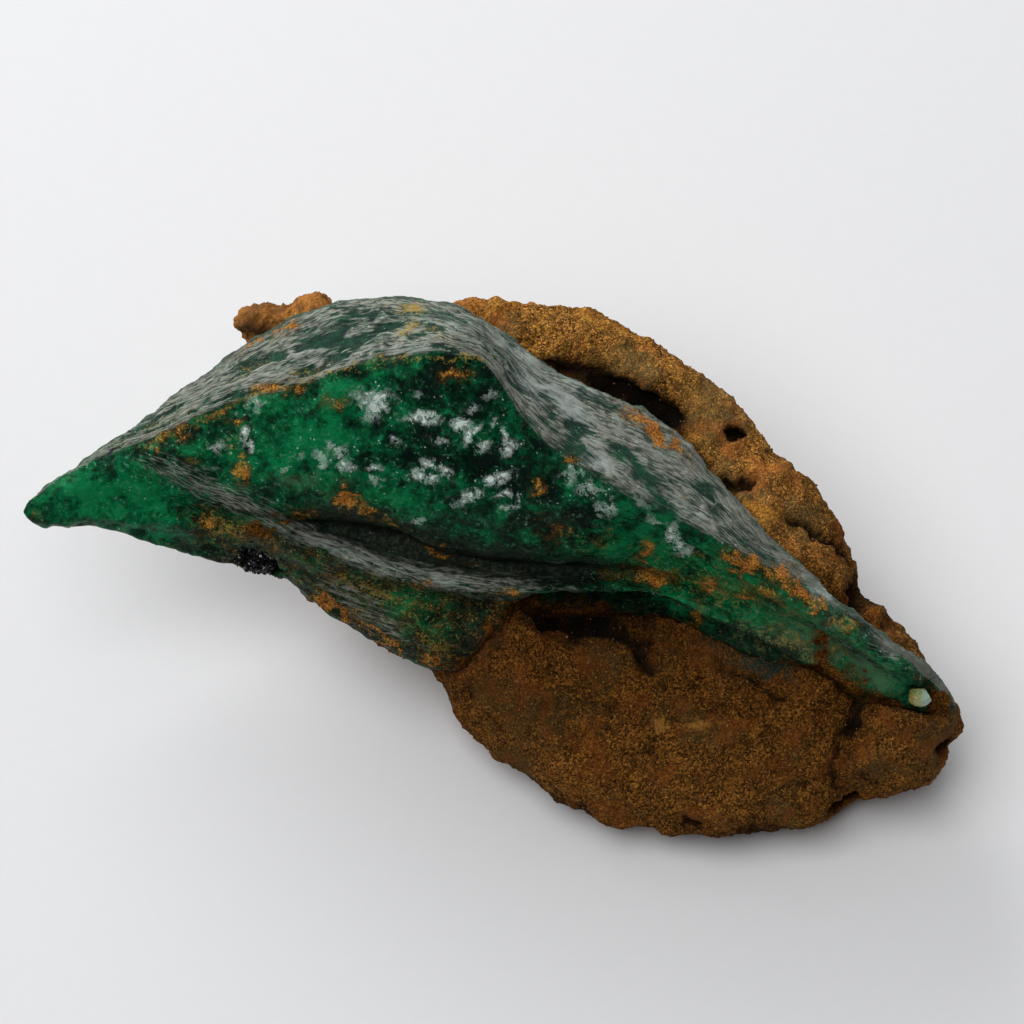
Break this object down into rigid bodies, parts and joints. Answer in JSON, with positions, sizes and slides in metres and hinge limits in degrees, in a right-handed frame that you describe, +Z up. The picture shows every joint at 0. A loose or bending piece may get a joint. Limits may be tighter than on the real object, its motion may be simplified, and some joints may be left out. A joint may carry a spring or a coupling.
{
  "type": "rough emerald in matrix",
  "caption": "Rough emerald: a long, pointed, waxy green mass on a brown, iron-stained lump of matrix that rests on its flat base.",
  "frame": {"origin": "under the middle of the whole stone, on the surface that it rests on", "axes": "+X along the stone's length from the pointed tip to the blunt end, +Y towards its back, +Z up as it rests"},
  "size_m": [0.0626, 0.035, 0.0263],
  "materials": {
    "emerald": "vitreous to waxy, broken surface",
    "matrix": "granular, matt, iron stained",
    "clay": "matt, powdery ochre",
    "black_crystal": "glittering black plates",
    "pale_crystal": "vitreous, pale yellow green"
  },
  "bodies": {
    "root": {"emerald": "emerald", "matrix": "matrix", "clay_nodule": "clay", "black_crystals": "black_crystal", "pale_knob": "pale_crystal"}
  },
  "joints": []
}
